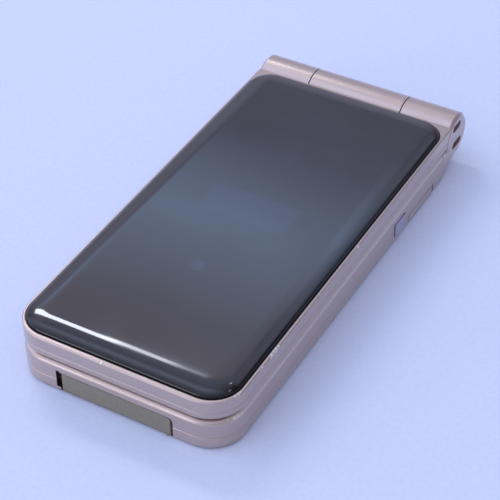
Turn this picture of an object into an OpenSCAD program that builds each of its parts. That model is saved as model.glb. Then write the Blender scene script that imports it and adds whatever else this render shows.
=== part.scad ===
// Clamshell mobile phone, closed: base half, lid half, hinge barrel and what they hold.
// +Z up, the lid hinges at the +Y end, origin at the middle of the underside. Millimetres.

/* [Overall] */
// Width across both halves
phone_w = 51; // [50:0.5:54]
// Length from the front end to the back of the hinge barrel
phone_l = 113.8; // [113:0.2:120]
// Corner radius of both halves at the front, seen from above
corner_r = 8; // [7:0.5:9]
// Wall thickness of the moulded shells
wall = 1.1; // [0.9:0.05:1.2]

/* [Base half] */
// Height of the top edge of the base
base_h = 7.8; // [7.6:0.1:8.8]
// Height of the parting line between the two base shells
base_part_z = 3.35; // [3.2:0.05:3.5]
// Radius of the bottom edge
bottom_r = 1.4; // [0.8:0.1:1.6]
// Radius of the top edge
base_edge_r = 1.2; // [0.6:0.1:1.4]
// Slope of the underside where it rises to the hinge, in degrees
rear_rise = 20; // [16:1:24]
// Thickness of the keypad face
face_t = 0.8; // [0.7:0.05:1]

/* [Lid half] */
// Gap between the closed halves
lid_gap = 0.6; // [0.55:0.05:0.8]
// Height of the lid from its lower edge to its rim
lid_h = 4.9; // [4.7:0.05:5.4]
// Height of the lid's inner shell
lid_inner_h = 1.8; // [1.6:0.05:2]
// Width of the painted rim beside the window
rim_w = 0.6; // [0.4:0.05:0.8]
// Gap between the rim and the window
window_gap = 0.3; // [0.1:0.05:0.35]
// Height of the window's dome over the rim
dome_h = 1.8; // [1.2:0.1:2.2]
// Width of the window's rolled edge
roll_w = 4.6; // [3.5:0.1:5]
// Thickness of the window
window_t = 1.2; // [0.9:0.05:1.4]

/* [Hinge] */
// Radius of the hinge barrel
hinge_r = 5.5; // [5.2:0.1:5.8]
// Length of the lid's knuckle, in the middle of the barrel
knuckle_l = 23.9; // [22:0.1:26]
// Gap between the knuckles
knuckle_gap = 0.25; // [0.2:0.05:0.35]
// Gap between a knuckle and the half that swings past it
relief_gap = 0.2; // [0.15:0.05:0.3]
// Bevel round the two ends of the barrel
barrel_bevel = 0.7; // [0.4:0.1:1]
// Radius of the bore that holds the hinge parts
hinge_bore_r = 3.2; // [3:0.1:3.4]

/* [Keypad] */
// Distance between key rows
key_pitch_y = 10.5; // [10:0.1:10.6]
// Width of the face left beside the keys
key_margin = 2.6; // [2.2:0.1:4]
// Width of the face between two keys
key_web = 1.1; // [0.9:0.1:1.6]
// Height of the keys over the face
key_rise = 0.3; // [0.2:0.05:0.35]
// Press of a key
key_travel = 0.25; // [0.15:0.05:0.25]
// Gap round a key in its hole
key_gap = 0.15; // [0.1:0.01:0.2]
// Radius of the four-way ring
ring_r = 11; // [10:0.1:11.5]
// Radius of the key inside the ring
center_key_r = 4.7; // [4:0.1:5]

/* [Covers and side key] */
// Width of the connector cover in the front end
connector_cover_w = 25.6; // [22:0.1:27]
// Height of the upper edge of the connector cover
connector_cover_z = 5.5; // [5.3:0.05:5.6]
// Width of the fingernail notch beside the connector cover
notch_w = 0.9; // [0.7:0.1:1.4]
// Length of the memory card slot's cover
card_cover_l = 13; // [12.6:0.1:14]
// Length of the side key
side_key_l = 5.2; // [4.6:0.1:6]
// Height of the side key
side_key_h = 3.3; // [2.8:0.1:3.4]

/* [Battery] */
// Width of the battery pack
battery_w = 34; // [30:0.5:34.5]
// Distance from the front end to the battery pack
battery_front = 24.9; // [24.5:0.1:30]
// Distance from the battery pack to the hinge's axis
battery_rear = 33.4; // [33:0.1:36]
// Thickness of the battery pack
battery_t = 3.2; // [2.9:0.05:3.3]

/* [Display] */
// Width of the main display's lens
lens_w = 43; // [40:0.5:43]
// Length of the main display's lens
lens_l = 78; // [72:0.5:79]
// Width of the outer display's picture
sub_w = 21; // [18:0.5:24]
// Length of the outer display's picture
sub_l = 9.5; // [8:0.5:12]

/* [Hidden] */
$fn = 48;
e = 0.01;                 // overshoot of a cut past the face it opens
fit = 0.05;               // clearance of a piece in its seat
sliver = 0.002;           // keeps two faces from lying in one plane
gold = "#c9aeb0";         // champagne paint
dark = "#3c4048";         // smoked window
graphite = "#3a3a3d";     // inner plastics
steel = "#b9bcc2";
board_green = "#1f5b3a";
brass = "#c8a24a";
olive = "#8a8676";

// base
half_w = phone_w / 2;
front_y = -phone_l / 2;
hinge_y = phone_l / 2 - hinge_r;
lid_z = base_h + lid_gap;
hinge_z = lid_z + 0.6;
rise_y = hinge_y + hinge_r * sin(rear_rise);        // where the rising underside meets the barrel
rise_z = hinge_z - hinge_r * cos(rear_rise);
rise_start = rise_y - rise_z / tan(rear_rise);
relief_r = hinge_r + relief_gap;
front_wall = wall + 1;
face_z = base_h - face_t;
shell_end = hinge_y - hinge_r - 1.4;                 // where the hollow of both halves ends
lower_end = rise_start - wall;
pad_t = wall + 0.65;                                 // thick floor round openings
knuckle_x = knuckle_l / 2;
ear_x = knuckle_x + knuckle_gap;

// board and battery
battery_l = hinge_y - battery_rear - front_y - battery_front;
battery_z = 1;
bay_top = battery_z + battery_t + fit;
bay_wall = 1;
bay_gap = 0.3;
bay_roof = 0.5;
board_z = bay_top + bay_roof + 0.1;
board_t = 0.6;
board_top = board_z + board_t;
board_x = half_w - wall - 1.8;
battery_y = front_y + battery_front + battery_l / 2;
bay_x = battery_w / 2 + bay_gap;
bay_y = battery_l / 2 + bay_gap;
cover_t = 0.85;
cover_lip = 2.2;                                     // cover beyond the bay, all round
cover_lift = 0.1;                                    // cover above the table
seat_lip = 1.2;                                      // thick floor beyond the cover, all round
battery_cover_w = 2 * (bay_x + cover_lip);
battery_cover_l = 2 * (bay_y + cover_lip);
battery_plug_w = 8;
battery_plug_z = 1.75;

// screws of the base
base_screw_r = 0.8;
base_screw_head = 1.6;
base_screw_t = 0.8;
base_screw_z = 0.35;
base_screw_y = [front_y + 3.9, shell_end - 3.5];
base_screw_x = half_w - 6;
function base_screws() = [for (y = base_screw_y, s = [-1, 1])
    [s * (y < 0 ? base_screw_x : base_screw_x + 1.1), y]];

// lid
part_z = lid_z + lid_inner_h;
rim_z = lid_z + lid_h;
window_z = rim_z - 0.2;
dome_z = rim_z + dome_h;
lid_face_t = 1.3;
lid_face_z = lid_z + lid_face_t;
plate_t = 0.8;
plate_z = window_z - plate_t;
lens_t = 0.7;
lens_y = -5;
lcd_t = 1.3;
lcd_w = lens_w - 2;
lcd_l = lens_l - 6;
lid_board_z = lid_face_z + lcd_t + fit;
lid_board_t = 0.5;
lid_board_x = half_w - 6;
lid_board_y = [front_y + 13, shell_end - 4.5];
lid_board_top = lid_board_z + lid_board_t;
lid_screw_r = 0.7;
lid_screw_head = 1.4;
lid_screw_x = half_w - 4.2;
lid_screw_y = [front_y + 5.2, shell_end - 3.5];
function lid_screws_at() = [for (y = lid_screw_y, s = [-1, 1]) [s * lid_screw_x, y]];
window_x = half_w - rim_w;
window_y0 = front_y + rim_w + 0.35;
window_y1 = hinge_y - 4.2;
sub_y = hinge_y - 54;
lamp_y = sub_y - 21.6;
lamp_r = 1.55;
earpiece_w = 12;
earpiece_l = 5.4;
earpiece_y = front_y + 6.9;
lid_magnet_x = [half_w - 13.5, half_w - 8.5];
lid_magnet_t = 1.5;
sound_slot_w = 2.4;
sound_slot_l = 1;
sub_frame = 1.7;

// keypad
key_pitch_x = (phone_w - 2 * key_margin) / 3;
key_w = key_pitch_x - key_web;
key_l = key_pitch_y - 1.6;
key_top = base_h + key_rise;
flange_w = 0.5;
flange_t = 0.4;
flange_z = face_z - fit - flange_t;
dome_t = 0.3;
dome_top = board_top + dome_t;
plunger_z = dome_top + key_travel + fit;
last_row_y = front_y + 11.9;
call_y = last_row_y + 4 * key_pitch_y;
ring_y = call_y + key_l / 2 + 1.4 + ring_r;
ring_hole_r = center_key_r + 0.6;
soft_x = key_pitch_x + key_w / 2 - 4.1;
soft_w = 8.2;
soft_l = 8.4;
soft_dy = 6.1;
// x, y, width and length of each key outside the ring
KEYS = [
    for (row = [0:3], col = [0:2])
        [(col - 1) * key_pitch_x, last_row_y + (3 - row) * key_pitch_y, key_w, key_l],
    for (col = [0:2]) [(col - 1) * key_pitch_x, call_y, key_w, key_l],
    for (dy = [1, -1], s = [-1, 1]) [s * soft_x, ring_y + dy * soft_dy, soft_w, soft_l]
];

// front cover, side cover and side key
connector_x = 7.7;
connector_h = board_z - 1.8;
connector_y = [front_y + 1.3, front_y + 8.4];
cover_skin = 1;
connector_cover_x1 = connector_cover_w / 2;
connector_cover_z0 = 0.85;
connector_corner_r = 0.9;
connector_pin = [connector_cover_x1 - connector_corner_r, front_y + 0.4];
pin_r = 0.3;
cover_gap = 0.3;
end_gap = 0.5;
card_cover_t = 1.2;
card_cover_y1 = shell_end - 5.6;
card_cover_y0 = card_cover_y1 - card_cover_l;
card_cover_z = [0.5, 2.9];
card_slot_z = [1.2, 2.75];
card_pin = [half_w - card_cover_t / 2, card_cover_y1 - card_cover_t / 2];
card_l = 11;
card_y = (card_cover_y0 + card_cover_y1) / 2 - 0.4;
card_socket_l = 14.5;
card_socket_wall = 0.5;
side_key_y = hinge_y - 30.5;
side_key_z = 3.75;
side_key_travel = 0.3;

// camera, loudspeaker, microphone, vibration motor and antenna
camera_y = shell_end - 11.5;
camera_w = 8.4;
camera_lens_r = 2.5;
camera_window_r = 3.4;
camera_window_t = 0.85;
speaker_w = 13;
speaker_l = 10.5;
speaker_x = -half_w + 11;
speaker_y = shell_end - 12.3;
sound_hole_r = 0.6;
microphone_r = 1.5;
microphone_h = 1.1;
microphone_x = -8;
microphone_y = front_y + 4.3;
motor_r = 4;
motor_h = 2.7;
motor_x = -half_w + 9;
motor_y = front_y + 14;
antenna_x = [-half_w + 8.7, -connector_x - 1];
antenna_wall = 1;

// ---------------------------------------------------------------- shared shapes

// a rectangle with round corners, centred
module round_rect(w, l, r) {
    square([w - 2 * r, l], center = true);
    square([w, l - 2 * r], center = true);
    for (x = [-1, 1], y = [-1, 1]) translate([x * (w / 2 - r), y * (l / 2 - r)]) circle(r);
}

module pad(w, l, r, z0, z1) {
    translate([0, 0, z0]) linear_extrude(z1 - z0) round_rect(w, l, r);
}

module block(x, y, z) {
    translate([x[0], y[0], z[0]]) cube([x[1] - x[0], y[1] - y[0], z[1] - z[0]]);
}

// points of a quarter round, as [inset, height] pairs
function round_up(r, z, n = 5) = [for (i = [0:n]) [r - r * sin(i * 90 / n), z + r - r * cos(i * 90 / n)]];
function round_in(r, z, n = 5) = [for (i = [0:n]) [r - r * cos(i * 90 / n), z - r + r * sin(i * 90 / n)]];

// a slab between y0 and y1 whose edge follows an outline of [inset, height] pairs, bottom to top;
// the front corners have radius rf, the rear ones rr, or are square where rr is 0
module slab(x, y0, y1, rf, rr, outline) {
    n = len(outline) - 1;
    side = concat(
        [for (p = outline) [p[0] - x, p[1]]],
        [for (i = [n:-1:0]) [x - outline[i][0], outline[i][1]]]);
    translate([0, y0 + rf, 0]) rotate([90, 0, 180]) linear_extrude(y1 - rr - (y0 + rf)) polygon(side);
    slab_end(x, y0, rf, outline);
    if (rr > 0) mirror([0, 1, 0]) slab_end(x, -y1, rr, outline);
}

module slab_end(x, y, r, outline) {
    low = outline[0][1];
    high = outline[len(outline) - 1][1];
    edge = concat([[y + r, low]], [for (p = outline) [y + p[0], p[1]]], [[y + r, high]]);
    corner = concat([[0, low]], [for (p = outline) [r - p[0], p[1]]], [[0, high]]);
    translate([r - x, 0, 0]) rotate([90, 0, 90]) linear_extrude(2 * (x - r)) polygon(edge);
    for (s = [0, 1]) mirror([s, 0, 0]) translate([x - r, y + r, 0]) rotate([0, 0, -90])
        rotate_extrude(angle = 90) polygon(corner);
}

module x_cylinder(x0, x1, r) {
    translate([x0, hinge_y, hinge_z]) rotate([0, 90, 0]) cylinder(h = x1 - x0, r = r);
}

module base_outline(points) {
    slab(half_w, front_y, hinge_y, corner_r, 0, points);
}

// side view of the base ahead of its barrel: flat underside that rises to the rear
module base_side() {
    polygon([[front_y - 1, 0], [rise_start, 0], [rise_y, rise_z], [hinge_y, base_h], [front_y - 1, base_h]]);
}

// barrel over the whole width, bevelled at both ends
module whole_barrel(r) {
    translate([0, hinge_y, hinge_z]) rotate([0, 90, 0]) rotate_extrude() polygon([
        [0, -half_w], [r - barrel_bevel, -half_w], [r, -half_w + barrel_bevel],
        [r, half_w - barrel_bevel], [r - barrel_bevel, half_w], [0, half_w]]);
}

module along_x(x0, x1) {
    translate([x0, 0, 0]) rotate([90, 0, 90]) linear_extrude(x1 - x0) children();
}

// what of a block belongs to the base: its side view, with round edges along the rising underside
module shape_base() {
    intersection() {
        children();
        union() {
            along_x(-half_w, half_w) base_side();
            whole_barrel(hinge_r - sliver);
        }
        translate([0, rise_start, -fit]) rotate([rear_rise, 0, 0])
            slab(half_w, -1.3 * phone_l, 2 * rise_z + hinge_r, corner_r, 0,
                concat(round_up(bottom_r, 0), [[0, phone_l / 2]]));
    }
}

// space that the lid's knuckle turns in
module knuckle_space() {
    x_cylinder(-ear_x, ear_x, relief_r);
    block([-ear_x, ear_x], [hinge_y - 2.4, hinge_y + relief_r + 1], [-1, hinge_z + relief_r]);
}

// one key: cap with a bevelled edge, flange under the face, plunger over its dome
module key(k) {
    cap_bevel = 0.15;
    corner = 1.2;
    color(steel) translate([k[0], k[1], 0]) {
        slab(k[2] / 2, -k[3] / 2, k[3] / 2, corner, corner,
            [[0, face_z - fit], [0, key_top - cap_bevel], [cap_bevel, key_top]]);
        pad(k[2] + 2 * flange_w - 0.2, k[3] + 2 * flange_w - 0.2, corner, flange_z, flange_z + flange_t);
        translate([0, 0, plunger_z]) cylinder(h = flange_z - plunger_z + e, r = 1);
    }
}

// ---------------------------------------------------------------- base half

module base_upper_case() color(gold) {
    difference() {
        union() {
            shape_base() base_upper_block();
            ear(1);
            ear(-1);
        }
        // hollow under the keypad face
        slab(half_w - wall, front_y + front_wall, shell_end, corner_r - wall - 1, 0,
            [[0, base_part_z - e], [0, face_z]]);
        knuckle_space();
        for (k = KEYS) translate([k[0], k[1], 0])
            pad(k[2] + 2 * key_gap, k[3] + 2 * key_gap, 1.2 + key_gap, face_z - e, base_h + e);
        translate([0, ring_y, face_z - e]) cylinder(h = face_t + 2 * e, r = ring_r + key_gap);
        front_openings();
        side_key_opening();
        // sound hole over the microphone
        translate([microphone_x, microphone_y, face_z - e]) cylinder(h = face_t + 2 * e, r = sound_hole_r);
        // bores for the hinge unit and for the bush, seat of the end cap, slot for the flex
        x_cylinder(-half_w + 1, -ear_x + e, hinge_bore_r);
        x_cylinder(-half_w - e, -half_w + 0.9, cap_r + fit);
        x_cylinder(ear_x - e, bush_bore_x, hinge_bore_r);
        block([flex_x - 2.1, flex_x + 2.1], [shell_end - e, hinge_y - 1], [flex_z - 0.2, flex_z + 0.45]);
        strap_holes();
    }
    // screw bosses
    for (p = base_screws()) translate([p[0], p[1], base_part_z]) difference() {
        cylinder(h = face_z - base_part_z + e, r = 1.9);
        translate([0, 0, -e]) cylinder(h = 3, r = base_screw_r + 0.02);
    }
}

module base_upper_block() {
    groove = 0.1;
    base_outline(concat(
        [[groove, base_part_z], [0, base_part_z + groove]], round_in(base_edge_r, base_h)));
    block([-half_w, half_w], [hinge_y - 1, hinge_y + hinge_r], [base_part_z, hinge_z + hinge_r]);
}

// outer knuckle of the base, bevelled at its end
module ear(s) {
    mirror([s < 0 ? 1 : 0, 0, 0]) translate([ear_x, hinge_y, hinge_z]) rotate([0, 90, 0])
        rotate_extrude() polygon([[0, 0], [hinge_r, 0], [hinge_r, half_w - ear_x - barrel_bevel],
            [hinge_r - barrel_bevel, half_w - ear_x], [0, half_w - ear_x]]);
}

cap_r = 4.2;
bush_bore_x = half_w - 4.5;
flex_x = half_w - 8.9;
flex_z = hinge_z - 2.5;
flex_t = 0.15;
roll_r = 2.35;

// two oblong holes through the end of the right ear, joined behind the bar between them
module strap_holes() {
    strap_x = half_w - 1.2;
    slots = [[-0.4, 2.75, 4.3], [0.2, -2.2, 4.8]];
    slot_w = 1.9;
    for (s = slots) translate([strap_x - 1.6, hinge_y + s[0], hinge_z + s[1]]) rotate([90, 0, 90])
        linear_extrude(3.5) round_rect(s[2], slot_w, slot_w / 2 - e);
    block([strap_x - 1.7, strap_x], [hinge_y - 2.2, hinge_y + 1.7],
        [hinge_z + slots[1][1] - slot_w / 2, hinge_z + slots[0][1] + slot_w / 2]);
}

// front view of the connector cover with its round corner, or of the seat with gaps round it
module cover_face(depth, gap, ends) {
    x = connector_cover_x1 + ends;
    z0 = connector_cover_z0 - gap;
    z1 = connector_cover_z + gap / 2;
    r = connector_corner_r + gap / 2;
    translate([0, front_y + depth, 0]) rotate([90, 0, 0]) linear_extrude(depth + 1) {
        translate([-x, z0]) square([2 * x - r, z1 - z0]);
        translate([-x, z0]) square([2 * x, z1 - z0 - r]);
        translate([x - r, z1 - r]) circle(r);
    }
}

// seat of the connector cover, the room its pins and round end turn in, and the fingernail notch
module front_openings() {
    depth = cover_skin + fit;
    notch_x = -connector_cover_x1 - end_gap;
    cover_face(depth, cover_gap, end_gap);
    block([notch_x - notch_w, notch_x + e], [front_y - 1, front_y + depth],
        [connector_cover_z0 + 0.6, connector_cover_z + 0.4]);
    block([connector_pin[0] - 1, connector_pin[0] + 1],
        [front_y + depth - e, connector_pin[1] + connector_corner_r + 0.1],
        [connector_cover_z0 - cover_gap, connector_cover_z + cover_gap / 2]);
    translate([connector_pin[0], connector_pin[1], connector_cover_z0 - cover_gap - 0.3])
        cylinder(h = connector_cover_z - connector_cover_z0 + 1.05, r = pin_r + fit);
    // mouth of the connector
    block([-connector_x - fit, connector_x + fit], [front_y, front_y + front_wall + e],
        [board_z - connector_h - fit, board_z]);
}

module side_key_opening() {
    w = side_key_l + 0.3;
    h = side_key_h + 0.3;
    block([half_w - wall - 1, half_w + 1], [side_key_y - w / 2, side_key_y + w / 2],
        [side_key_z - h / 2, side_key_z + h / 2]);
}

module base_lower_case() color(gold) {
    difference() {
        union() {
            difference() {
                shape_base() base_lower_block();
                slab(half_w - wall, front_y + front_wall, lower_end, corner_r - wall - 1, 0,
                    [[0, wall], [0, base_part_z + e]]);
            }
            // thick floor round the battery cover, walls and roof of the battery bay
            translate([0, battery_y, 0]) {
                pad(battery_cover_w + 2 * seat_lip, battery_cover_l + 2 * seat_lip, 2, wall - e, pad_t);
                pad(2 * (bay_x + bay_wall), 2 * (bay_y + bay_wall), 1, wall - e, bay_top + bay_roof);
            }
            translate([0, camera_y, wall - e]) cylinder(h = pad_t - wall, r = camera_window_r + 0.9);
            for (p = base_screws()) translate([p[0], p[1], wall - e])
                cylinder(h = base_part_z - wall + e, r = 2.3);
            // frame round the card slot
            block([half_w - wall - 1.6, half_w - wall + e], [card_cover_y0 - 0.6, card_cover_y1 + 0.4],
                [wall - e, base_part_z]);
        }
        knuckle_space();
        translate([0, battery_y, 0]) {
            pad(battery_cover_w + 0.3, battery_cover_l + 0.3, 2, -e, cover_lift + cover_t + fit);
            pad(2 * bay_x, 2 * bay_y, 0.6, -e, bay_top);
        }
        // opening for the battery connector
        block([-battery_plug_w / 2 - fit, battery_plug_w / 2 + fit],
            [battery_y + bay_y - 1, battery_y + bay_y + bay_wall + e], [battery_plug_z, bay_top + 1]);
        front_openings();
        side_key_opening();
        card_cover_seat();
        translate([0, camera_y, -e])
            cylinder(h = cover_lift + camera_window_t + 2 * e, r = camera_window_r + fit);
        translate([0, camera_y, 0]) cylinder(h = pad_t + 1, r = camera_lens_r + 0.1);
        for (p = base_screws()) translate([p[0], p[1], -e]) {
            cylinder(h = base_screw_z + base_screw_t + 2 * e, r = base_screw_head + 0.1);
            cylinder(h = 5, r = base_screw_r + 0.05);
        }
        // sound slots of the loudspeaker
        for (i = [-1:1]) translate([speaker_x, speaker_y + speaker_slot_pitch * i, -e])
            linear_extrude(wall + 2 * e) round_rect(speaker_slot_l, 0.9, 0.44);
    }
}
speaker_slot_l = 7;
speaker_slot_pitch = 2;

module base_lower_block() {
    groove = 0.1;
    base_outline(concat(
        round_up(bottom_r, 0), [[0, base_part_z - groove], [groove, base_part_z]]));
    block([-half_w, half_w], [hinge_y - 1, rise_y], [0, base_part_z]);
}

module card_cover_seat() {
    block([half_w - card_cover_t - fit, half_w + 1], [card_cover_y0 - cover_gap, card_cover_y1 + cover_gap],
        [card_cover_z[0] - cover_gap, card_cover_z[1] + 0.15]);
    block([half_w - wall - 1.7, half_w], [card_y - card_l / 2 - 0.3, card_y + card_l / 2 + 0.3],
        [card_slot_z[0] + 0.05, card_slot_z[1] - 0.05]);
    translate([card_pin[0], card_pin[1], card_cover_z[0] - cover_gap - 0.25])
        cylinder(h = card_cover_z[1] - card_cover_z[0] + cover_gap + 0.6, r = pin_r + fit);
}

module battery_cover() color(gold)
    translate([0, battery_y, 0]) difference() {
        pad(battery_cover_w, battery_cover_l, 1.9, cover_lift, cover_lift + cover_t);
        // thumb ridges
        for (i = [-1:1]) translate([0, bay_y - 6 + 2 * i, cover_lift - e]) linear_extrude(0.25)
            round_rect(10, 0.8, 0.39);
    }

module battery_pack() color(graphite)
    translate([0, battery_y, 0]) pad(battery_w, battery_l, 0.5, battery_z + fit, battery_z + battery_t);

// board with its shield can, battery connector and side switch soldered on
module main_board() color(board_green) {
    block([-board_x, board_x], [front_y + 6.1, shell_end - 6.2], [board_z, board_top]);
    // shield can
    block([-10, 19], [front_y + 10.6, front_y + battery_front - 4.4], [board_z - 1.5, board_z + e]);
    // battery connector
    block([-battery_plug_w / 2, battery_plug_w / 2],
        [battery_y + battery_l / 2 + 0.1, battery_y + bay_y + bay_wall + 1.8],
        [battery_plug_z + 0.1, board_z + e]);
    // switch behind the side key
    switch_x = half_w - wall - 0.75 - side_key_travel;
    switch_w = 4;
    switch_h = 1.8;
    block([switch_x - switch_w / 2, switch_x], [side_key_y - switch_w / 2, side_key_y + switch_w / 2],
        [board_z - switch_h, board_z + e]);
}

module dome_sheet() color("#e8e2d0") {
    sheet_t = 0.1;
    dome_r = 2.2;
    block([-board_x, board_x], [last_row_y - key_l / 2, ring_y + ring_r + 0.5],
        [board_top, board_top + sheet_t]);
    for (k = KEYS) translate([k[0], k[1], board_top]) cylinder(h = dome_t, r = dome_r);
    translate([0, ring_y, board_top]) cylinder(h = dome_t, r = dome_r);
    for (a = [0:90:270]) translate([0, ring_y, board_top]) rotate([0, 0, a])
        translate([(ring_r + ring_hole_r) / 2, 0, 0]) cylinder(h = dome_t, r = dome_r);
}

module base_screws() color(steel)
    for (p = base_screws()) translate([p[0], p[1], base_screw_z]) difference() {
        union() {
            cylinder(h = base_screw_t, r = base_screw_head);
            cylinder(h = base_part_z + 2.4 - base_screw_z, r = base_screw_r);
        }
        for (a = [0, 90]) rotate([0, 0, a]) translate([-0.9, -0.2, -e]) cube([1.8, 0.4, 0.4]);
    }

module external_connector() color(steel) {
    z0 = board_z - connector_h;
    difference() {
        block([-connector_x, connector_x], connector_y, [z0, board_z]);
        block([-connector_x + 0.3, connector_x - 0.3], [front_y, connector_y[1] - 1.4],
            [z0 + 0.3, board_z - 0.3]);
    }
    block([-connector_x + 1.2, connector_x - 1.2], [connector_y[0] + 0.7, connector_y[1] - 0.9],
        [(z0 + board_z) / 2 - 0.35, (z0 + board_z) / 2 + 0.35]);
}

// flap in the front end that turns about the pins at its right-hand end
module connector_cover() color(olive) {
    z0 = connector_cover_z0;
    z1 = connector_cover_z;
    intersection() {
        base_cover_block();
        cover_face(front_wall, 0, 0);
        union() {
            block([-connector_cover_x1, connector_pin[0]], [front_y - 1, front_y + cover_skin], [z0, z1]);
            translate([connector_pin[0], connector_pin[1], z0])
                cylinder(h = z1 - z0, r = connector_corner_r);
        }
    }
    translate([connector_pin[0], connector_pin[1], z0 - cover_gap - 0.2])
        cylinder(h = z1 - z0 + cover_gap + 0.5, r = pin_r);
}

module base_cover_block() {
    base_outline(concat(round_up(bottom_r, 0), [[0, connector_cover_z + 1]]));
}

module card_socket() color(steel) {
    x1 = half_w - wall - 1.7;
    difference() {
        block([x1 - card_socket_l, x1], [card_y - card_l / 2 - 0.7, card_y + card_l / 2 + 0.7],
            [wall, card_slot_z[1] + 0.2]);
        block([x1 - card_socket_l + card_socket_wall, x1 + e],
            [card_y - card_l / 2 - 0.1, card_y + card_l / 2 + 0.1],
            [card_slot_z[0] + 0.2, card_slot_z[1] - 0.1]);
    }
}

// flap in the right side that turns about the pins at its rear end
module card_slot_cover() color(gold) {
    z0 = card_cover_z[0];
    z1 = card_cover_z[1];
    intersection() {
        base_cover_block();
        union() {
            block([half_w - card_cover_t, half_w + 1], [card_cover_y0, card_pin[1]], [z0, z1]);
            translate([card_pin[0], card_pin[1], z0]) cylinder(h = z1 - z0, r = card_cover_t / 2);
        }
    }
    translate([card_pin[0], card_pin[1], z0 - 0.3]) cylinder(h = z1 - z0 + 0.5, r = pin_r);
}

module side_key() color("#b9b7c8") {
    translate([half_w - wall - 0.1, side_key_y, side_key_z]) rotate([90, 0, 90]) {
        linear_extrude(wall + 0.35) round_rect(side_key_l, side_key_h, 0.5);
        translate([0, 0, -0.6]) linear_extrude(0.65) round_rect(side_key_l + 1.2, side_key_h + 0.6, 0.5);
    }
}

module loudspeaker() color(graphite)
    translate([speaker_x, speaker_y, 0]) difference() {
        pad(speaker_w, speaker_l, 1.5, wall, board_z - 0.6);
        pad(speaker_w - 4, speaker_l - 3.5, 1.5, wall - e, wall + 0.4);
    }

module camera_module() color(graphite)
    translate([0, camera_y, 0]) {
        lens_z = cover_lift + camera_window_t + 0.1;
        block([-camera_w / 2, camera_w / 2], [-camera_w / 2, camera_w / 2], [pad_t, board_z]);
        translate([0, 0, lens_z]) cylinder(h = pad_t - lens_z + e, r = camera_lens_r);
    }

module camera_window() color(dark)
    translate([0, camera_y, cover_lift]) cylinder(h = camera_window_t, r = camera_window_r);

module microphone() color(steel)
    translate([microphone_x, microphone_y, face_z - microphone_h])
        cylinder(h = microphone_h, r = microphone_r);

module vibration_motor() color(steel)
    translate([motor_x, motor_y, wall]) cylinder(h = motor_h, r = motor_r);

module antenna() color("#c9b9a2")
    difference() {
        block(antenna_x, [front_y + front_wall + 0.2, front_y + 6.6], [wall, board_z]);
        block([antenna_x[0] + antenna_wall, antenna_x[1] - antenna_wall],
            [front_y, front_y + 6.6 - antenna_wall], [wall - e, board_z - 0.8]);
    }

// ribbon from the main board into the right ear, rolled up inside the bush
module base_flex() color("#c27a2c") {
    end_y = shell_end - 7;
    difference() {
        union() {
            x_cylinder(9.6, bush_bore_x - 0.3, roll_r);
            block([flex_x - 1.9, flex_x + 1.9], [end_y, hinge_y], [flex_z + 0.05, flex_z + 0.05 + flex_t]);
        }
        x_cylinder(9.5, bush_bore_x, roll_r - flex_t);
    }
    block([flex_x - 1.9, flex_x + 1.9], [end_y - 2, end_y + e], [board_top, flex_z + 0.2]);
}

// ---------------------------------------------------------------- hinge

module hinge_cap() color(gold) {
    translate([-half_w, hinge_y, hinge_z]) rotate([0, 90, 0])
        rotate_extrude() polygon([[0, 0], [cap_r - 0.3, 0], [cap_r, 0.3], [cap_r, 0.85], [0, 0.85]]);
}

case_x0 = -half_w + 1.1;
case_x1 = -ear_x - 0.4;
case_r = hinge_bore_r - fit;
case_in_r = case_r - 0.55;
rotor_r = 1.2;
disc_x = case_x1 - 4.6;

module hinge_cartridge() color(steel)
    difference() {
        x_cylinder(case_x0, case_x1, case_r);
        x_cylinder(case_x0 + 1, case_x1 - 1, case_in_r);
        x_cylinder(case_x0 + 1 - e, case_x1 + e, rotor_r + fit);
    }

// coil spring that loads the friction disc: one wire swept round a helix
module hinge_spring() color("#d8d9dd") {
    wire = 0.28;
    coil_r = rotor_r + 0.15 + wire * 1.6;
    turns = 5;
    steps = 16;
    sides = 8;
    x0 = case_x0 + 1 + wire + 0.02;
    x1 = disc_x - wire - 0.02;
    rings = turns * steps;
    ring = [for (i = [0:rings], j = [0:sides - 1])
        let (a = i * 360 / steps, b = j * 360 / sides, r = coil_r + wire * cos(b))
        [x0 + (x1 - x0) * i / rings + wire * sin(b), hinge_y + r * cos(a), hinge_z + r * sin(a)]];
    walls = [for (i = [0:rings - 1], j = [0:sides - 1])
        let (k = (j + 1) % sides)
        [i * sides + j, i * sides + k, (i + 1) * sides + k, (i + 1) * sides + j]];
    ends = [[for (j = [sides - 1:-1:0]) j], [for (j = [0:sides - 1]) rings * sides + j]];
    polyhedron(ring, concat(walls, ends));
}

module hinge_friction_disc() color(brass)
    difference() {
        x_cylinder(disc_x, disc_x + 1.8, case_in_r - fit);
        x_cylinder(disc_x - e, disc_x + 2, rotor_r + fit);
    }

// flats on the end of the rotor that drive the lid's knuckle
module rotor_head(grow) {
    head_r = 2.8 + grow;
    flat = 2.1 + grow;
    intersection() {
        x_cylinder(-knuckle_x - (grow > 0 ? e : -0.05), -knuckle_x + 4.8 + grow, head_r);
        block([-knuckle_x - 1, 0], [hinge_y - head_r, hinge_y + head_r], [hinge_z - flat, hinge_z + flat]);
    }
}

module hinge_rotor() color(steel) {
    x_cylinder(case_x0 + 1.3, -knuckle_x + 0.5, rotor_r);
    x_cylinder(case_x1 - 2.7, case_x1 - 1.1, case_in_r - fit);
    rotor_head(0);
}

module hinge_bush() color(brass)
    difference() {
        x_cylinder(9, ear_x + 2.2, hinge_bore_r - fit);
        x_cylinder(9 - e, ear_x + 5, roll_r + 0.1);
    }

// ---------------------------------------------------------------- keys

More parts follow.
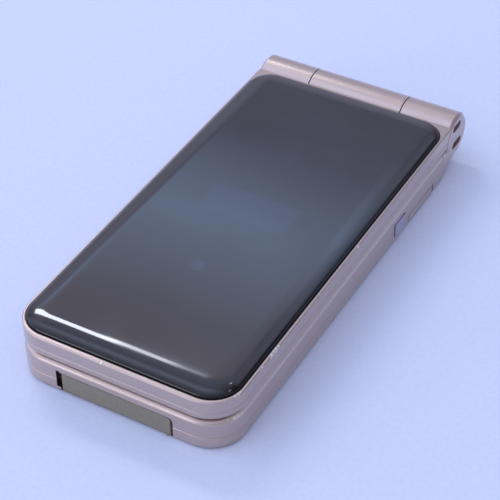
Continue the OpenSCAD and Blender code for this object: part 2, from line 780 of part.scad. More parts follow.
// ring that is pressed toward four sides, with a dished top
module four_way_ring() color("#d5d3dc")
    translate([0, ring_y, 0]) rotate_extrude() polygon([
        [ring_hole_r, key_top - 0.25], [ring_hole_r, face_z - fit - 0.05],
        [ring_hole_r + 1, face_z - fit - 0.05], [ring_hole_r + 1, flange_z],
        [ring_r + flange_w - 0.2, flange_z],
        [ring_r + flange_w - 0.2, flange_z + flange_t], [ring_r, flange_z + flange_t],
        [ring_r, key_top - 0.2], [ring_r - 0.3, key_top], [ring_r - 1.6, key_top]
    ]);

module center_key() color(steel)
    translate([0, ring_y, 0]) {
        bevel = 0.2;
        step_z = face_z - key_travel - fit - 0.1;
        rotate_extrude() polygon([
            [0, plunger_z], [ring_hole_r + 0.25, plunger_z], [ring_hole_r + 0.25, step_z],
            [center_key_r, step_z], [center_key_r, key_top - bevel],
            [center_key_r - bevel, key_top], [0, key_top]
        ]);
    }

module key_1() key(KEYS[0]);
module key_2() key(KEYS[1]);
module key_3() key(KEYS[2]);
module key_4() key(KEYS[3]);
module key_5() key(KEYS[4]);
module key_6() key(KEYS[5]);
module key_7() key(KEYS[6]);
module key_8() key(KEYS[7]);
module key_9() key(KEYS[8]);
module key_star() key(KEYS[9]);
module key_0() key(KEYS[10]);
module key_hash() key(KEYS[11]);
module call_key() key(KEYS[12]);
module clear_key() key(KEYS[13]);
module end_key() key(KEYS[14]);
module soft_key_left() key(KEYS[15]);
module soft_key_right() key(KEYS[16]);
module mail_key() key(KEYS[17]);
module browser_key() key(KEYS[18]);

// ---------------------------------------------------------------- lid half

lid_edge_r = 0.8;
flex_slot_x = [3.3, 8.7];
tab_x = [-10, 1];

// rounds both lid shells off to the hinge: room for the ears and for the lid's own barrel
module lid_rear_space() {
    x_cylinder(-knuckle_x - e, knuckle_x + e, hinge_r + fit);
    x_cylinder(knuckle_x, half_w + 1, relief_r);
    x_cylinder(-half_w - 1, -knuckle_x, relief_r);
    // slots for the barrel's tab and for the flex
    block([tab_x[0] - fit, tab_x[1] + fit], [shell_end - e, hinge_y], [lid_face_z, lid_face_z + 0.95]);
    block(flex_slot_x, [shell_end - e, hinge_y], [lid_board_z - 0.4, lid_board_z + 0.05]);
}

module lid_outer_case() color(gold) {
    groove = 0.1;
    bevel = 0.25;
    difference() {
        union() {
            difference() {
                slab(half_w, front_y, hinge_y, corner_r, 0, [[groove, part_z], [0, part_z + groove],
                    [0, rim_z - bevel], [bevel, rim_z]]);
                slab(half_w - wall, front_y + wall, shell_end, corner_r - wall, 0,
                    [[0, part_z - e], [0, plate_z]]);
            }
            for (p = lid_screws_at()) translate([p[0], p[1], lid_face_z + fit])
                cylinder(h = plate_z - lid_face_z, r = 1.9);
        }
        slab(window_x, window_y0, window_y1, window_r + window_gap, window_rear_r + window_gap,
            [[0, window_z], [0, rim_z + e]]);
        lid_rear_space();
        translate([0, sub_y, plate_z - e]) linear_extrude(plate_t + 2 * e)
            round_rect(sub_w + 2 * sub_frame + 0.2, sub_l + 2 * sub_frame + 0.2, 0.5);
        translate([0, lamp_y, plate_z - e]) cylinder(h = plate_t + 2 * e, r = lamp_r + fit);
        for (p = lid_screws_at()) translate([p[0], p[1], lid_z]) cylinder(h = 3.6, r = lid_screw_r + 0.02);
    }
}
window_r = corner_r - rim_w - 0.8;
window_rear_r = window_r - 1.1;

module lid_inner_case() color(gold) {
    groove = 0.1;
    difference() {
        slab(half_w, front_y, hinge_y, corner_r, 0,
            concat(round_up(lid_edge_r, lid_z), [[0, part_z - groove], [groove, part_z]]));
        slab(half_w - wall, front_y + wall, shell_end, corner_r - wall, 0,
            [[0, lid_face_z], [0, part_z + e]]);
        // seat of the lens and the opening behind it
        translate([0, lens_y, 0]) {
            pad(lens_w + 2 * fit, lens_l + 2 * fit, 2, lid_z - e, lid_z + lens_t + fit);
            pad(lcd_w - 2.5, lcd_l - 4, 0.6, lid_z, lid_face_z + e);
        }
        // slots of the earpiece
        for (i = [-1:1]) translate([(sound_slot_w + 0.8) * i, earpiece_y, lid_z - e])
            linear_extrude(lid_face_t + 2 * e) round_rect(sound_slot_w, sound_slot_l, sound_slot_l / 2 - e);
        for (p = lid_screws_at()) translate([p[0], p[1], lid_z - e]) {
            cylinder(h = 0.9 + e, r = lid_screw_head + 0.15);
            cylinder(h = lid_face_t + 2 * e, r = lid_screw_r + 0.05);
        }
        lid_rear_space();
    }
}

// middle knuckle, held by a tab under the lid's rear wall
module lid_hinge_barrel() color(gold)
    difference() {
        union() {
            x_cylinder(-knuckle_x, knuckle_x, hinge_r);
            block(tab_x, [shell_end - 3, hinge_y - 2], [lid_face_z + fit, lid_face_z + 0.9]);
        }
        rotor_head(fit);
        x_cylinder(-knuckle_x + 6, knuckle_x + e, hinge_bore_r);
        block(flex_slot_x, [shell_end - 4, hinge_y], [lid_board_z - 0.4, lid_board_z + 0.05]);
    }

// domed window: a thin shell whose edge rolls down to the rim
module lid_window() color(dark) {
    n = 9;
    side = 0.25;
    roll = [for (i = [0:n]) let (a = 90 * i / n) [roll_w - roll_w * cos(a),
        window_z + side + (dome_z - window_z - side) * sin(a)]];
    difference() {
        slab(window_x - window_gap, window_y0 + window_gap, window_y1 - window_gap, window_r, window_rear_r,
            concat([[0, window_z]], roll));
        slab(window_x - roll_w - 1, window_y0 + roll_w + 1, window_y1 - roll_w - 1, 2, 2,
            [[0, window_z - e], [0, dome_z - window_t]]);
    }
}

module display_lens() color("#16181c")
    translate([0, lens_y, 0]) pad(lens_w, lens_l, 2, lid_z + fit, lid_z + lens_t);

module main_display() color("#2a2d33")
    translate([0, lens_y, 0]) pad(lcd_w, lcd_l, 0.5, lid_face_z, lid_face_z + lcd_t);

module lid_board() color(board_green)
    block([-lid_board_x, lid_board_x], lid_board_y, [lid_board_z, lid_board_top]);

// ribbon from the lid's board into its barrel, rolled up toward the base's ribbon
module lid_flex() color("#c27a2c") {
    x = [flex_slot_x[0] + 0.3, flex_slot_x[1] - 0.3];
    difference() {
        union() {
            x_cylinder(x[0], 8.8, roll_r);
            block(x, [shell_end - 6, hinge_y - 0.6], [lid_board_z - 0.25, lid_board_z - 0.1]);
        }
        x_cylinder(x[0] - 1, 9, roll_r - flex_t);
    }
    block(x, [shell_end - 7.5, shell_end - 5], [lid_board_z - 0.6, lid_board_z]);
}

module outer_display() color("#20242c")
    translate([0, sub_y, 0])
        pad(sub_w + 2 * sub_frame, sub_l + 2 * sub_frame, 0.4, lid_board_top, dome_z - window_t - fit);

module indicator_lamp() color("#e6e6ea")
    translate([0, lamp_y, lid_board_top]) cylinder(h = dome_z - window_t - fit - lid_board_top, r = lamp_r);

module earpiece() color(graphite)
    translate([0, earpiece_y, 0]) pad(earpiece_w, earpiece_l, 1.5, lid_face_z, lid_face_z + 1.8);

module lid_magnet() color(steel)
    block(lid_magnet_x, [earpiece_y - 2, earpiece_y + 2], [lid_face_z, lid_face_z + lid_magnet_t]);

module lid_cushions() color("#6f6a6c")
    for (p = lid_screws_at()) translate([p[0], p[1], base_h + fit])
        cylinder(h = lid_gap + 0.3 - 2 * fit, r = lid_screw_head + 0.1);

module lid_screws() color(steel)
    for (p = lid_screws_at()) translate([p[0], p[1], lid_z + 0.3]) {
        cylinder(h = 0.6, r = lid_screw_head);
        cylinder(h = 3.2, r = lid_screw_r);
    }

// ---------------------------------------------------------------- parts on show

base_upper_case();
base_lower_case();
battery_cover();
battery_pack();
main_board();
dome_sheet();
base_screws();
external_connector();
connector_cover();
card_socket();
card_slot_cover();
side_key();
loudspeaker();
camera_module();
camera_window();
microphone();
vibration_motor();
antenna();
base_flex();
hinge_cap();
hinge_cartridge();
hinge_spring();
hinge_friction_disc();
hinge_rotor();
hinge_bush();
key_1();
key_2();
key_3();
key_4();
key_5();
key_6();
key_7();
key_8();
key_9();
key_star();
key_0();
key_hash();
call_key();
clear_key();
end_key();
soft_key_left();
soft_key_right();
mail_key();
browser_key();
four_way_ring();
center_key();
lid_outer_case();
lid_inner_case();
lid_hinge_barrel();
lid_window();
display_lens();
main_display();
lid_board();
lid_flex();
outer_display();
indicator_lamp();
earpiece();
lid_magnet();
lid_cushions();
lid_screws();
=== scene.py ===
# The clamshell phone, closed on a pale floor: finishes, printed marks and small fittings
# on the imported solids. Metres, in the frame of the solids.
import math

import bmesh
import bpy
from mathutils import Matrix, Vector


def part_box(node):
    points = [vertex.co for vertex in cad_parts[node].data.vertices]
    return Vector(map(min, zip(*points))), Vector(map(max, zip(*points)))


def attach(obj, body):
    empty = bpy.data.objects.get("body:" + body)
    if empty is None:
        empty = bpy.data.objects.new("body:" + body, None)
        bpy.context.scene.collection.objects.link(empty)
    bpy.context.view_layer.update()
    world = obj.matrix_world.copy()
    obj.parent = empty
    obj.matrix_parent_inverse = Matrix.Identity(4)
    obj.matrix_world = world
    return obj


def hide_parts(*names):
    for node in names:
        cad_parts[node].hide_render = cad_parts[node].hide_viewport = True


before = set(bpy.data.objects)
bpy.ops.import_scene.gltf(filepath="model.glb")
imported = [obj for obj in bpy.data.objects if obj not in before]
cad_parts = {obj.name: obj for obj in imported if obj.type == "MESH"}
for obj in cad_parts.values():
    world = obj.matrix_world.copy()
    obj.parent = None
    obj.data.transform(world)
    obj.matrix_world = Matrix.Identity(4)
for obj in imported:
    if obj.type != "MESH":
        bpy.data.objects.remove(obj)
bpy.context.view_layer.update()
MM = 0.001

# ---------------------------------------------------------------- camera
# A telephoto lens about a third of a metre away, looking down on the phone's front right
# corner with the hinge at the far end.
sight_azimuth, sight_elevation, sight_roll = map(math.radians, (29.543, 40.344, -0.275))
sight_distance = 348.5 * MM
sight_target = Vector((5.97, -12.83, 13.3)) * MM
sight_back = Vector((
    math.sin(sight_azimuth) * math.cos(sight_elevation),
    -math.cos(sight_azimuth) * math.cos(sight_elevation),
    math.sin(sight_elevation),
))


def new_object(name, data):
    """An object that holds some data, linked into the scene."""
    thing = bpy.data.objects.new(name, data)
    bpy.context.scene.collection.objects.link(thing)
    return thing


def stand(thing, spot, right, up, back):
    """Stands a camera or lamp at a spot, with these directions for its own three axes."""
    thing.matrix_world = Matrix.Translation(spot) @ Matrix((right, up, back)).transposed().to_4x4()


level = Vector((0, 0, 1)).cross(sight_back).normalized()
upright = sight_back.cross(level)
sight_right = level * math.cos(sight_roll) + upright * math.sin(sight_roll)
sight_up = upright * math.cos(sight_roll) - level * math.sin(sight_roll)
camera_data = bpy.data.cameras.new("camera")
camera_data.sensor_width = 36
camera_data.lens = 118.61
camera_data.clip_start = 0.01
camera = new_object("camera", camera_data)
stand(camera, sight_target + sight_back * sight_distance, sight_right, sight_up, sight_back)
bpy.context.scene.camera = camera
bpy.context.scene.view_settings.view_transform = "Standard"

# ---------------------------------------------------------------- table and light
# A sheet of pale lavender card that the phone lies on, in a bright room with a blue-white window
# behind it. A soft lamp stands low in front, strips of light stand behind on the left, and two
# small lamps put glints on the rolled edge.


def linear(red, green, blue):
    """A display colour, 0 to 255, as the linear colour that a socket takes."""
    shares = [v / 255 for v in (red, green, blue)]
    return (*[v / 12.92 if v <= 0.04045 else ((v + 0.055) / 1.055) ** 2.4 for v in shares], 1)


def new_material(name, **values):
    """A material with the given values on its shader, and its tree and the shader's inputs."""
    material = bpy.data.materials.new(name)
    material.use_nodes = True
    finish = material.node_tree.nodes["Principled BSDF"].inputs
    for label, value in values.items():
        finish[label.replace("_", " ")].default_value = value
    return material, material.node_tree, finish


def connect(inputs, **values):
    """Links outputs to inputs by name, with an underscore for each space."""
    for label, value in values.items():
        socket = inputs[label.replace("_", " ")]
        socket.id_data.links.new(value, socket)


def add(tree, kind, *links, **settings):
    """A node with its settings, its inputs linked or set in order; None leaves one alone."""
    node = tree.nodes.new("ShaderNode" + kind)
    for key, value in settings.items():
        setattr(node, key, value)
    for socket, value in zip(node.inputs, links):
        if isinstance(value, bpy.types.NodeSocket):
            tree.links.new(value, socket)
        elif value is not None:
            socket.default_value = value
    return node


def math_node(tree, operation, *values):
    """The output of a maths node."""
    return add(tree, "Math", *values, operation=operation).outputs[0]


def product(tree, first, *others):
    """Several values multiplied."""
    for value in others:
        first = math_node(tree, "MULTIPLY", first, value)
    return first


def mix_colour(tree, share, first, second):
    """The output of a colour mix, whose colours come after five inputs of other kinds."""
    return add(tree, "Mix", share, *[None] * 5, first, second, data_type="RGBA").outputs[2]


def ramp(tree, value, low, high, to_low=0.0, to_high=1.0):
    """A value's range stretched to another, and held at its ends."""
    return add(tree, "MapRange", value, low, high, to_low, to_high).outputs[0]


def spots(tree):
    """The places on an object, in metres from its origin."""
    return add(tree, "TexCoord").outputs["Object"]


def noise(tree, scale, detail=2, roughness=0.5, where=None):
    """The output of a noise texture at so many grains to the metre."""
    if where is None:
        where = spots(tree)
    return add(tree, "TexNoise", where, None, scale, detail, roughness).outputs["Fac"]


def finished_mesh(name, shape, material):
    """The mesh of a shape, in its material."""
    mesh = bpy.data.meshes.new(name)
    shape.to_mesh(mesh)
    shape.free()
    mesh.materials.append(material)
    return mesh


table_colour = linear(203, 215, 254)
table_card, tree, finish = new_material("table_card", Roughness=0.75)
card_grain = noise(tree, 900, 4)
connect(finish, Normal=add(tree, "Bump", 0.08, 0.1 * MM, None, card_grain).outputs[0],
        Base_Color=mix_colour(tree, ramp(tree, card_grain, 0.35, 0.65), linear(218, 223, 238),
                              linear(214, 219, 236)))
shape = bmesh.new()
table_half = 3
bmesh.ops.create_grid(shape, x_segments=8, y_segments=8, size=table_half)
table = new_object("table", finished_mesh("table", shape, table_card))

# the room, painted over by direction: across to the right, rearward and up
room = bpy.data.worlds.new("room")
bpy.context.scene.world = room
room.use_nodes = True
tree = room.node_tree
across, rearward, up = add(tree, "SeparateXYZ", add(tree, "TexCoord").outputs["Generated"]).outputs
wall_slope = 0.355
slant = math_node(tree, "SUBTRACT", up, product(tree, across, wall_slope))
behind = ramp(tree, rearward, 0.4, 0.64)
right_part = ramp(tree, across, -0.36, -0.24)
left_part = math_node(tree, "SUBTRACT", 1, right_part)
panes = mix_colour(tree, ramp(tree, across, 0.20, 0.36), (0.70, 0.72, 1.0, 1), (1.20, 1.28, 1.75, 1))
band_colour = (0.87, 1.22, 1.84, 1)
band_half = 0.048


def window_band(height, middle, part):
    """Where the bright band behind crosses one part of the room, fading from its middle."""
    off_middle = math_node(tree, "ABSOLUTE", math_node(tree, "SUBTRACT", height, middle))
    return product(tree, ramp(tree, off_middle, band_half, 0), part, behind)


room_colour = (0.52, 0.53, 0.74, 1)
for share, colour in (
        # the wall, the paler strip along its top, and the ceiling
        (ramp(tree, up, 0.50, 0.57), (0.34, 0.36, 0.54, 1)),
        (ramp(tree, slant, 0.73, 0.81), (0.58, 0.57, 0.72, 1)),
        (ramp(tree, up, 0.76, 0.84), (0.36, 0.42, 0.62, 1)),
        # the bright front of the room, less bright far forward, and the dark right side
        (ramp(tree, rearward, 0.16, -0.04), (1.25, 1.45, 2.08, 1)),
        (ramp(tree, rearward, -0.15, -0.8), (0.80, 0.86, 1.15, 1)),
        (ramp(tree, across, -0.15, 0.8, 0, 0.68), (0.13, 0.11, 0.12, 1)),
        # the panes behind on the right, the band in two parts, and the dark end beside the panes
        (product(tree, ramp(tree, across, 0, 0.2), ramp(tree, up, 0.45, 0.57), behind), panes),
        (window_band(slant, 0.776, left_part), band_colour),
        (window_band(rearward, 0.688, right_part), band_colour),
        (product(tree, behind, ramp(tree, across, 0.43, 0.60, 0, 0.6)), (0.12, 0.13, 0.19, 1))):
    room_colour = mix_colour(tree, share, room_colour, colour)
seen = add(tree, "LightPath").outputs["Is Camera Ray"]
connect(tree.nodes["Background"].inputs, Color=mix_colour(tree, seen, room_colour, table_colour))

# the lamps: name, direction, width, height, energy in watts
lamp_distance = 0.9
lamp_colour = (0.84, 0.88, 1.0)
for name, way, width, height, energy in (
        ("soft_lamp", (-0.43, -0.87, 0.19), 0.50, 0.16, 1.3),
        ("strip_lamp", (-0.66, 0.41, 0.76), 0.37, 0.12, 1.35),
        ("strip_lamp_middle", (-0.335, 0.383, 0.623), 0.06, 0.11, 0.135),
        ("strip_lamp_right", (-0.30, 0.41, 0.623), 0.04, 0.09, 0.02),
        ("small_lamp", (0.16, 0.42, 0.89), 0.035, 0.035, 0.05),
        ("small_lamp_right", (0.60, 0.07, 0.79), 0.10, 0.07, 0.26)):
    lamp_data = bpy.data.lights.new(name, "AREA")
    lamp_data.shape = "RECTANGLE"
    lamp_data.size, lamp_data.size_y = width, height
    lamp_data.energy = energy
    lamp_data.color = lamp_colour
    lamp_way = Vector(way).normalized()
    level = Vector((0, 0, 1)).cross(lamp_way).normalized()
    if name.startswith("strip"):
        level = (Vector((1, 0, 0)) - lamp_way * lamp_way.x).normalized()
    lamp = new_object(name, lamp_data)
    stand(lamp, lamp_way * lamp_distance, level, lamp_way.cross(level), lamp_way)

# ---------------------------------------------------------------- painted shells
# Five moulded shells of glass-filled plastic and the hinge's knuckles and cap, sprayed with a
# champagne metallic paint under a satin clear coat, chipped at a few edges, with painted shade in
# the seams and a painted highlight along the base's right bevel.


def new_group(name, inputs, outputs):
    """A shader node group with named inputs, each with a default, and named outputs."""
    group = bpy.data.node_groups.new(name, "ShaderNodeTree")
    for label, value in inputs.items():
        kind = "NodeSocketVector" if isinstance(value, tuple) else "NodeSocketFloat"
        group.interface.new_socket(label, in_out="INPUT", socket_type=kind).default_value = value
    for label in outputs:
        group.interface.new_socket(label, in_out="OUTPUT", socket_type="NodeSocketFloat")
    given = group.nodes.new("NodeGroupInput").outputs
    made = group.nodes.new("NodeGroupOutput").inputs
    return group, given, made


def place(tree, group, **values):
    """The outputs of a group that is placed in a material with its own values."""
    node = tree.nodes.new("ShaderNodeGroup")
    node.node_tree = group
    for label, value in values.items():
        node.inputs[label].default_value = value
    return node.outputs


# metal flakes under a clear coat: a shade for each flake and the coat's faint orange peel
flake_group, given, made = new_group(
    "paint_flake", {"Flakes": 9000.0, "Peel": 1400.0}, ("Shade", "Height"))
flakes = add(flake_group, "TexVoronoi", spots(flake_group), None, given["Flakes"]).outputs
connect(made, Shade=add(flake_group, "SeparateColor", flakes["Color"]).outputs[0],
        Height=noise(flake_group, given["Peel"]))

# wear: where a corner is sharp within Width, broken up by grain of its own
wear_group, given, made = new_group(
    "edge_wear", {"Width": 0.0003, "Grain": 700.0, "Amount": 0.5}, ("Mask",))
rounded = add(wear_group, "Bevel", given["Width"], samples=6).outputs[0]
facing = add(wear_group, "VectorMath", rounded, add(wear_group, "NewGeometry").outputs["Normal"],
             operation="DOT_PRODUCT").outputs["Value"]
limit = math_node(wear_group, "SUBTRACT", 0.78, product(wear_group, given["Amount"], 0.35))
speck = math_node(wear_group, "SUBTRACT", noise(wear_group, given["Grain"], 5), limit)
connect(made, Mask=product(wear_group, ramp(wear_group, facing, 0.97, 0.75),
                           ramp(wear_group, speck, 0, 0.05)))

# handling: soft smears of skin grease and a few dust grains
smear_group, given, made = new_group(
    "handling", {"Smears": 60.0, "Dust": 2600.0}, ("Smear", "Dust"))
grains = add(smear_group, "TexVoronoi", spots(smear_group), None, given["Dust"]).outputs
chance = add(smear_group, "SeparateColor", grains["Color"]).outputs[1]
connect(made, Smear=ramp(smear_group, noise(smear_group, given["Smears"], 6), 0.42, 0.68),
        Dust=product(smear_group, ramp(smear_group, grains["Distance"], 0.22, 0.12),
                     ramp(smear_group, chance, 0.996, 0.998)))

# one chip: a ragged spot of a size at a place, with painted shade along its rim and in patches inside
chip_group, given, made = new_group(
    "chip", {"Place": (0.0, 0.0, 0.0), "Size": 0.0006}, ("Mask", "Hollow"))
away = add(chip_group, "VectorMath", spots(chip_group), given["Place"],
           operation="DISTANCE").outputs["Value"]
ragged = ramp(chip_group, noise(chip_group, 2600), 0.3, 0.7, 0.45, 1.35)
depth = math_node(chip_group, "SUBTRACT", product(chip_group, given["Size"], ragged), away)
inside = ramp(chip_group, depth, 0, 0.05 * MM)
rim_shade = ramp(chip_group, math_node(chip_group, "ABSOLUTE", depth), 0.1 * MM, 0.03 * MM, 0, 0.45)
pit_shade = product(chip_group, inside, ramp(chip_group, noise(chip_group, 3600), 0.53, 0.66))
connect(made, Mask=inside, Hollow=math_node(chip_group, "MAXIMUM", rim_shade, pit_shade))

# painted shade: darkening where a seam or a gap is narrow and deep within Reach, found by ambient
# occlusion
painted_shade_group, given, made = new_group("seam_painted_shade", {"Reach": 0.0005, "Amount": 0.8}, ("Mask",))
closed = add(painted_shade_group, "AmbientOcclusion", None, given["Reach"], samples=6).outputs["AO"]
connect(made, Mask=product(painted_shade_group, ramp(painted_shade_group, closed, 0.52, 0.12), given["Amount"]))

# a block of space, for a seat or an edge: 1 between two corners
block_group, given, made = new_group(
    "block", {"Low": (0.0, 0.0, 0.0), "High": (0.0, 0.0, 0.0)}, ("Mask",))
spot = spots(block_group)
nearest = None
for far, near in ((spot, given["Low"]), (given["High"], spot)):
    gaps = add(block_group, "VectorMath", far, near, operation="SUBTRACT").outputs[0]
    for gap in add(block_group, "SeparateXYZ", gaps).outputs:
        nearest = gap if nearest is None else math_node(block_group, "MINIMUM", nearest, gap)
connect(made, Mask=ramp(block_group, nearest, 0, 0.03 * MM))


def block_mask(tree, low, high):
    """The mask of the block between two corners in mm."""
    return place(tree, block_group, Low=[v * MM for v in low], High=[v * MM for v in high])["Mask"]


def edge_normal(tree, radius, height, strength):
    """A normal rounded over the edges by a radius in mm, with a bump of a height on it."""
    rounded = add(tree, "Bevel", radius * MM, samples=6).outputs[0]
    return add(tree, "Bump", strength, 0.05 * MM, None, height, rounded).outputs[0]


def dress(material, *names):
    """Gives solids a material."""
    for name in names:
        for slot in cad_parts[name].material_slots:
            slot.material = material


dust_colour = linear(225, 225, 228)
# a paler colour for a painted highlight
highlight_colour = linear(242, 230, 232)
primer_colour = linear(234, 225, 206)
chip_shade_colour = linear(104, 86, 76)
# dark brown for bare plastic and for painted shade in seams and gaps
plastic_and_shade_colour = linear(78, 55, 46)


def paint(name, colour, shadow_colour, roughness=0.36, metallic=0.82, chips=(), highlit_strips=(), seats=()):
    """A metallic paint with wear, smears and painted shade in narrow seams. Chips are places with a
    size, with painted shade round them; strips with a painted highlight and bare seats, dark as
    plastic and painted shade, are pairs of corners, all in mm."""
    material, tree, finish = new_material(name, Coat_Weight=0.7, Coat_Roughness=0.09)
    flake = place(tree, flake_group)
    handling = place(tree, smear_group)
    worn = place(tree, wear_group, Width=0.25 * MM, Amount=0.32)["Mask"]
    chip_painted_shade = 0.0
    for x, y, z, size in chips:
        chip = place(tree, chip_group, Place=(x * MM, y * MM, z * MM), Size=size * MM)
        worn = math_node(tree, "MAXIMUM", worn, chip["Mask"])
        chip_painted_shade = math_node(tree, "MAXIMUM", chip_painted_shade, chip["Hollow"])
    tint = mix_colour(tree, flake["Shade"], colour, shadow_colour)
    layers = [(product(tree, handling["Dust"], 0.4), dust_colour)]
    # painted highlight: the listed strips turned paler
    layers += [(product(tree, block_mask(tree, *ends), 0.4), highlight_colour) for ends in highlit_strips]
    # painted shade along each chip's rim and in patches inside it
    layers += [(worn, primer_colour), (product(tree, chip_painted_shade, 0.45), chip_shade_colour)]
    for mask, layer_colour in layers:
        tint = mix_colour(tree, mask, tint, layer_colour)
    # painted shade in narrow seams and gaps, and on the seats bare plastic with painted shade, in dark
    # brown
    shade_and_bare_seats = place(tree, painted_shade_group)["Mask"]
    for ends in seats:
        shade_and_bare_seats = math_node(tree, "MAXIMUM", shade_and_bare_seats, block_mask(tree, *ends))
    satin = ramp(tree, handling["Smear"], 0, 1, roughness, roughness + 0.09)
    connect(finish, Base_Color=mix_colour(tree, shade_and_bare_seats, tint, plastic_and_shade_colour),
            Metallic=ramp(tree, worn, 0, 1, metallic, 0),
            Roughness=math_node(tree, "ADD", satin, product(tree, worn, 0.3)),
            Normal=edge_normal(tree, 0.18, flake["Height"], 0.06))
    return material


# chips through the paint, at x, y and z with their size, in mm
shell_chips = (
    # the lid's rim on the right, and its front right corner
    (25.3, -38.5, 13.2, 0.5), (25.25, -37.4, 13.25, 0.45), (25.3, -36.6, 13.2, 0.55),
    (25.35, -35.7, 13.2, 0.35), (25.45, -38.9, 12.9, 0.3), (25.45, -36.9, 12.8, 0.3),
    (25.25, -42.4, 13.25, 0.45), (25.4, -43.1, 13.1, 0.25), (25.3, -0.7, 13.25, 0.4),
    (25.5, -17.9, 12.97, 0.2), (24.85, -51.1, 13.2, 0.5), (25.0, -50.4, 13.2, 0.35),
    (24.6, -51.9, 13.25, 0.3),
    # the lid's rim in front and on the left
    (-2.9, -56.65, 13.3, 0.4), (-25.4, 12.0, 13.25, 0.3), (-25.3, -30.5, 13.25, 0.35),
    # the base's bevel
    (24.5, -51.9, 7.4, 0.45), (24.8, -51.2, 7.35, 0.4), (23.7, -53.2, 7.45, 0.3),
    (25.1, -50.2, 7.3, 0.3), (25.4, -51.3, 6.6, 0.2), (25.4, 45.2, 7.15, 0.45))
# a painted highlight along the base's upper bevel on the right side, between two corners in mm
bevel_highlight = ((24.2, -52.5, 7.0), (26, 44, 7.6))
# seats round the connector cover and the right side's openings, dark as bare plastic and as painted
# shade in the gaps
connector_seat = ((-14.3, -56.82, 0.4), (13.2, -54.5, 6.0))
side_seats = ((24.2, -20, 1), (25.4, 25, 6))
dress(paint("champagne_shell", linear(201, 179, 167), linear(187, 166, 155), chips=shell_chips,
            highlit_strips=[bevel_highlight], seats=[connector_seat, side_seats]),
      "base_upper_case", "base_lower_case", "battery_cover", "hinge_cap", "card_slot_cover",
      "lid_outer_case", "lid_inner_case", "lid_hinge_barrel")

# ---------------------------------------------------------------- window
# The domed window over the whole lid: one acrylic moulding with a half-mirror coat on its back,
# printed dark round a clear field for the small display, and glued into the rim's recess.
window_low, window_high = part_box("lid_window")
window_roll = 4.6 * MM
window_side = 0.25 * MM
window_crown = 0.14 * MM
window_last_inset = 0.4 * MM       # from the middle line, where the rings end in one flat face
front_corner, rear_corner, least_corner = 6.6 * MM, 5.5 * MM, 0.25 * MM
corner_steps, side_steps = 14, 12
roll_rings, cap_rings = 26, 18


def window_ring(inset):
    """The window's outline, drawn in by inset, as points with x and y."""
    left, right = window_low.x + inset, window_high.x - inset
    front, rear = window_low.y + inset, window_high.y - inset
    corners = []
    for x, y, start, full_radius in (
            (right, front, -90, front_corner), (right, rear, 0, rear_corner),
            (left, rear, 90, rear_corner), (left, front, 180, front_corner)):
        radius = max(full_radius - inset, least_corner)
        middle_x = x - radius if x > 0 else x + radius
        middle_y = y + radius if y == front else y - radius
        turns = [math.radians(start + 90 * step / corner_steps) for step in range(corner_steps + 1)]
        corners.append([(middle_x + radius * math.cos(turn), middle_y + radius * math.sin(turn))
                        for turn in turns])
    points = []
    for corner, following in zip(corners, corners[1:] + corners[:1]):
        (x, y), (end_x, end_y) = corner[-1], following[0]
        points += corner
        points += [(x + (end_x - x) * step / side_steps, y + (end_y - y) * step / side_steps)
                   for step in range(1, side_steps)]
    return points


def crown_height(x, y):
    """Height of the window's face, which is slightly crowned along and across."""
    across = x / (window_high.x - window_low.x) * 2
    middle = (window_low.y + window_high.y) / 2
    along = (y - middle) / (window_high.y - window_low.y) * 2
    return window_high.z - window_crown * (across * across + along * along) / 2


def join_rings(shape, rings):
    """Joins each ring of corners to the next one with a band of faces."""
    for inner, outer in zip(rings[1:], rings):
        for index in range(len(inner)):
            following = (index + 1) % len(inner)
            shape.faces.new((outer[index], outer[following], inner[following], inner[index]))


shape = bmesh.new()
rings = [[shape.verts.new((x, y, window_low.z)) for x, y in window_ring(0)]]
foot = window_low.z + window_side
for step in range(roll_rings + 1):
    turn = math.pi / 2 * step / roll_rings
    rings.append([shape.verts.new((x, y, foot + (crown_height(x, y) - foot) * math.sin(turn)))
                  for x, y in window_ring(window_roll * (1 - math.cos(turn)))])
half_width = (window_high.x - window_low.x) / 2 - window_roll
for step in range(1, cap_rings + 1):
    inset = window_roll + (half_width - window_last_inset) * step / cap_rings
    rings.append([shape.verts.new((x, y, crown_height(x, y))) for x, y in window_ring(inset)])
join_rings(shape, rings)
shape.faces.new(rings[-1])
shape.faces.new(reversed(rings[0]))
bmesh.ops.recalc_face_normals(shape, faces=shape.faces)
for face in shape.faces:
    face.smooth = len(face.verts) == 4

# a soft-edged rectangle: 1 inside, from a centre and half sizes in x and y
field_group, given, made = new_group(
    "printed_field",
    {"Centre": (0.0, 0.0, 0.0), "Half": (0.01, 0.005, 0.0), "Corner": 0.0005, "Blur": 0.0003},
    ("Mask",))
offset = add(field_group, "VectorMath", spots(field_group), given["Centre"],
             operation="SUBTRACT").outputs[0]
offset = add(field_group, "VectorMath", offset, operation="ABSOLUTE").outputs[0]
offset = add(field_group, "VectorMath", offset, given["Half"], operation="SUBTRACT").outputs[0]
beyond = [math_node(field_group, "MAXIMUM", math_node(field_group, "ADD", side, given["Corner"]), 0)
          for side in list(add(field_group, "SeparateXYZ", offset).outputs)[:2]]
reach = add(field_group, "VectorMath", add(field_group, "CombineXYZ", *beyond).outputs[0],
            operation="LENGTH").outputs["Value"]
inward = math_node(field_group, "SUBTRACT", given["Corner"], reach)
connect(made, Mask=ramp(field_group, math_node(field_group, "DIVIDE", inward, given["Blur"]), -0.5, 0.5))

